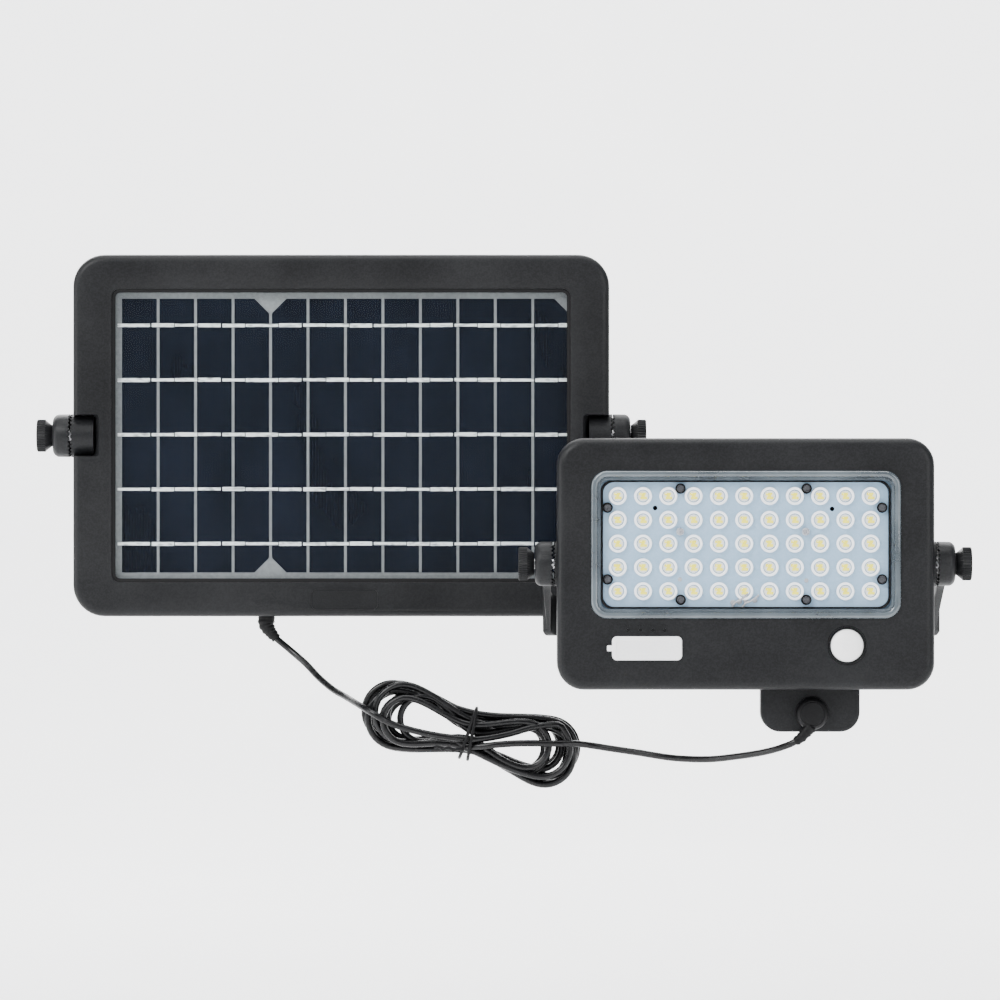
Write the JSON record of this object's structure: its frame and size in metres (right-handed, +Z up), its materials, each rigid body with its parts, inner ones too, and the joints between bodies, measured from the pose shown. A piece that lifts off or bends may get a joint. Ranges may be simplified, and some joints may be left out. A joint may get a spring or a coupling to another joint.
{
  "type": "solar flood light",
  "caption": "Framed solar panel and LED flood light with motion sensor, each clamped in its own tilting wall bracket and joined by a tied hank of cable.",
  "frame": {"origin": "middle of the wall face of the solar panel's bracket", "axes": "+X to the right seen from the front, towards the flood light; +Y into the wall; +Z up; both lit faces look along -Y"},
  "size_m": [0.5252, 0.2145, 0.3],
  "materials": {
    "black_plastic": "fine-grained charcoal moulding",
    "black_rubber": "soft black rubber",
    "cord_sheath": "glossy black sheath",
    "cell_silicon": "dark navy silicon behind glass",
    "backsheet": "light grey film",
    "clear_glass": "clear tempered glass",
    "clear_plastic": "clear polished plastic",
    "white_rubber": "matt white rubber",
    "sensor_white": "milky white lens",
    "board_white": "white solder mask",
    "board_green": "green solder mask",
    "zinc_steel": "bright zinc plate",
    "brass": "turned brass",
    "battery_wrap": "blue shrink film over a metal can"
  },
  "bodies": {
    "wall_brackets": {"panel_bracket": "black_plastic", "light_bracket": "black_plastic", "cord_to_panel": "cord_sheath", "cord_to_light": "cord_sheath", "cord_hank": "cord_sheath", "cord_tie": "black_rubber"},
    "solar_panel": {"panel_frame": "black_plastic", "panel_seal": "black_rubber", "panel_glass": "clear_glass", "cell_layer": "cell_silicon", "panel_backsheet": "backsheet", "panel_junction_box": "black_plastic", "panel_back_cover": "black_plastic", "panel_cable_boot": "black_rubber", "panel_insert_left": "brass", "panel_insert_right": "brass"},
    "flood_light": {"light_front_housing": "black_plastic", "light_rear_housing": "black_plastic", "lens_cover": "clear_plastic", "cover_seal": "black_rubber", "led_board": "board_white", "led_lens_plate": "clear_plastic", "lens_plate_screw_1": "zinc_steel", "lens_plate_screw_2": "zinc_steel", "lens_plate_screw_3": "zinc_steel", "lens_plate_screw_4": "zinc_steel", "lens_plate_screw_5": "zinc_steel", "lens_plate_screw_6": "zinc_steel", "lens_plate_screw_7": "zinc_steel", "lens_plate_screw_8": "zinc_steel", "led_board_screw_1": "zinc_steel", "led_board_screw_2": "zinc_steel", "sensor_ring": "black_plastic", "sensor_dome": "sensor_white", "motion_sensor": "zinc_steel", "sensor_board": "board_green", "charge_port": "zinc_steel", "control_board": "board_green", "indicator_light_pipes": "clear_plastic", "battery_door": "black_plastic", "battery_cell_1": "battery_wrap", "battery_cell_2": "battery_wrap", "cord_socket": "brass", "cord_plug": "black_rubber", "battery_door_screw_1": "zinc_steel", "battery_door_screw_2": "zinc_steel", "battery_door_screw_3": "zinc_steel", "battery_door_screw_4": "zinc_steel", "light_insert_left": "brass", "light_insert_right": "brass"},
    "panel_left_clamp": {"panel_left_knob": "black_plastic", "panel_left_stud": "zinc_steel"},
    "panel_right_clamp": {"panel_right_knob": "black_plastic", "panel_right_stud": "zinc_steel"},
    "light_left_clamp": {"light_left_knob": "black_plastic", "light_left_stud": "zinc_steel"},
    "light_right_clamp": {"light_right_knob": "black_plastic", "light_right_stud": "zinc_steel"},
    "charging_flap": {"port_cover": "white_rubber"},
    "push_button": {"power_button": "black_rubber"}
  },
  "joints": [
    {"name": "panel_tilt", "type": "hinge", "parent": "wall_brackets", "child": "solar_panel", "pos_m": [0, -0.066, 0], "axis": [1, 0, 0], "range_deg": [-30, 30]},
    {"name": "light_tilt", "type": "hinge", "parent": "wall_brackets", "child": "flood_light", "pos_m": [0.2258, -0.193, -0.072], "axis": [1, 0, 0], "range_deg": [-45, 30]},
    {"name": "panel_left_knob_turn", "type": "hinge", "parent": "wall_brackets", "child": "panel_left_clamp", "pos_m": [-0.166, -0.066, 0], "axis": [-1, 0, 0], "range_deg": [0, 540]},
    {"name": "panel_right_knob_turn", "type": "hinge", "parent": "wall_brackets", "child": "panel_right_clamp", "pos_m": [0.166, -0.066, 0], "axis": [1, 0, 0], "range_deg": [0, 540]},
    {"name": "light_left_knob_turn", "type": "hinge", "parent": "wall_brackets", "child": "light_left_clamp", "pos_m": [0.109, -0.193, -0.072], "axis": [-1, 0, 0], "range_deg": [0, 540]},
    {"name": "light_right_knob_turn", "type": "hinge", "parent": "wall_brackets", "child": "light_right_clamp", "pos_m": [0.3426, -0.193, -0.072], "axis": [1, 0, 0], "range_deg": [0, 540]},
    {"name": "charging_flap_hinge", "type": "hinge", "parent": "flood_light", "child": "charging_flap", "pos_m": [0.1492, -0.2103, -0.1183], "axis": [0, 0, -1], "range_deg": [0, 120]},
    {"name": "push_button_press", "type": "slide", "parent": "flood_light", "child": "push_button", "axis": [0, 1, 0], "range_m": [0, 0.0008], "stiffness_N_per_m": 300, "springref_m": -0.001}
  ]
}
